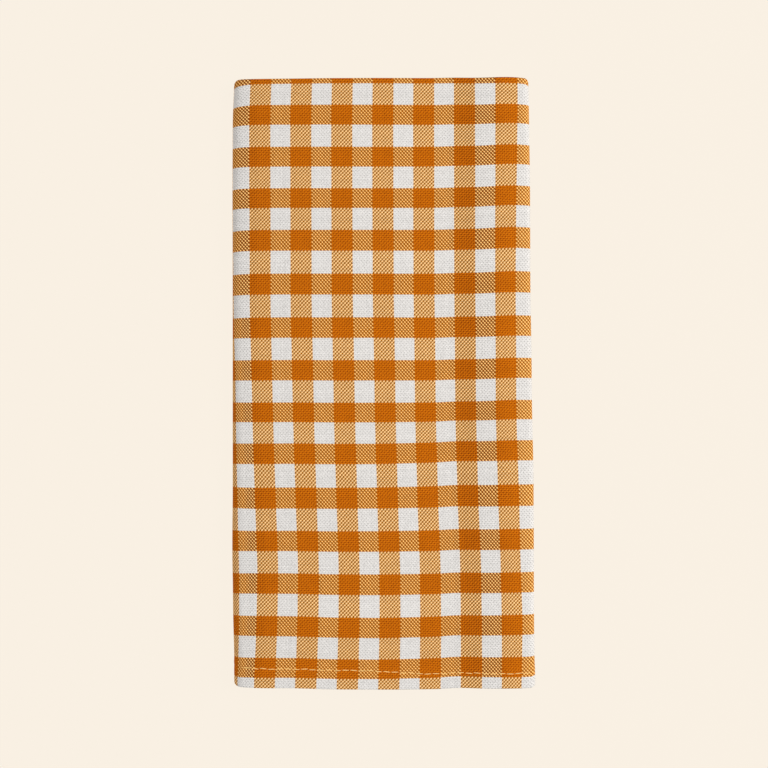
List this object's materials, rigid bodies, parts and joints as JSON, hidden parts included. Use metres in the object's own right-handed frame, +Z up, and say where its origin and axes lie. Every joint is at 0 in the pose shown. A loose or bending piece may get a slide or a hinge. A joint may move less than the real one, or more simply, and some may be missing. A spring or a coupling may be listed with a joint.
{
  "type": "folded cloth napkin",
  "caption": "Checked cotton table napkin, hemmed and folded in half and then twice sideways into a flat rectangular stack.",
  "frame": {"origin": "centre of the flat back face on which the folded napkin lies", "axes": "+X across the folded napkin from the round spine to the thin fold, +Y along it from the hems to the crease, +Z up out of the front face"},
  "size_m": [0.1264, 0.2548, 0.0121],
  "materials": {
    "checked_cotton": "matte plain weave, mustard and off-white checks"
  },
  "bodies": {
    "root": {"napkin": "checked_cotton"}
  },
  "joints": []
}
